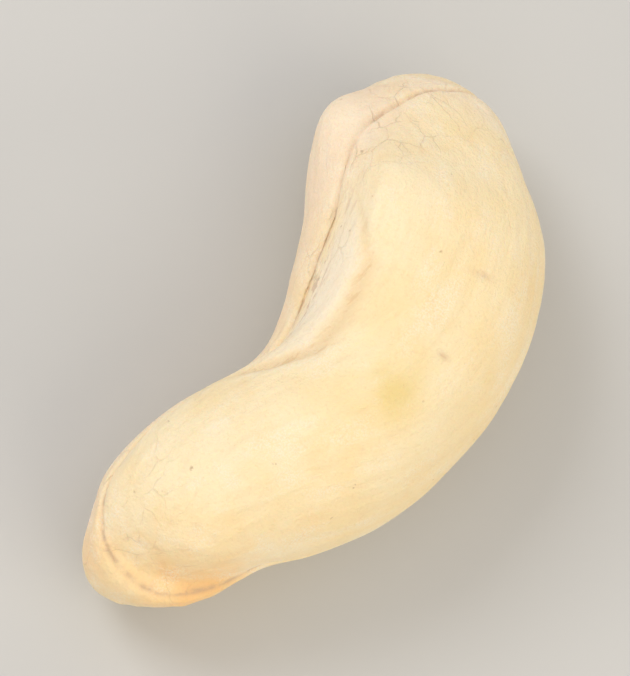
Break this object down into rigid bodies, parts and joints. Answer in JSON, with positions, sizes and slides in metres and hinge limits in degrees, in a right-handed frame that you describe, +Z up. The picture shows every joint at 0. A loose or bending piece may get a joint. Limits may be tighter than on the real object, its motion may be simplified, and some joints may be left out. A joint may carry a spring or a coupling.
{
  "type": "cashew nut",
  "caption": "A whole cashew kernel, shelled and skinned: a curved, comma-shaped nut with a thin seam round its edge and a shallow channel in its bay, lying on its side.",
  "frame": {"origin": "middle of the kernel's box in plan, on the surface it lies on", "axes": "+Y from the lower tip to the upper tip, the longest way; +X out of the convex back, with the bay opening towards -X; +Z up, across the seam"},
  "size_m": [0.014, 0.0298, 0.0112],
  "materials": {
    "kernel": "dry, matt and faintly powdery cream skinless nut flesh, warmer yellow in places and paler along the seam"
  },
  "bodies": {
    "root": {"cashew_nut": "kernel"}
  },
  "joints": []
}
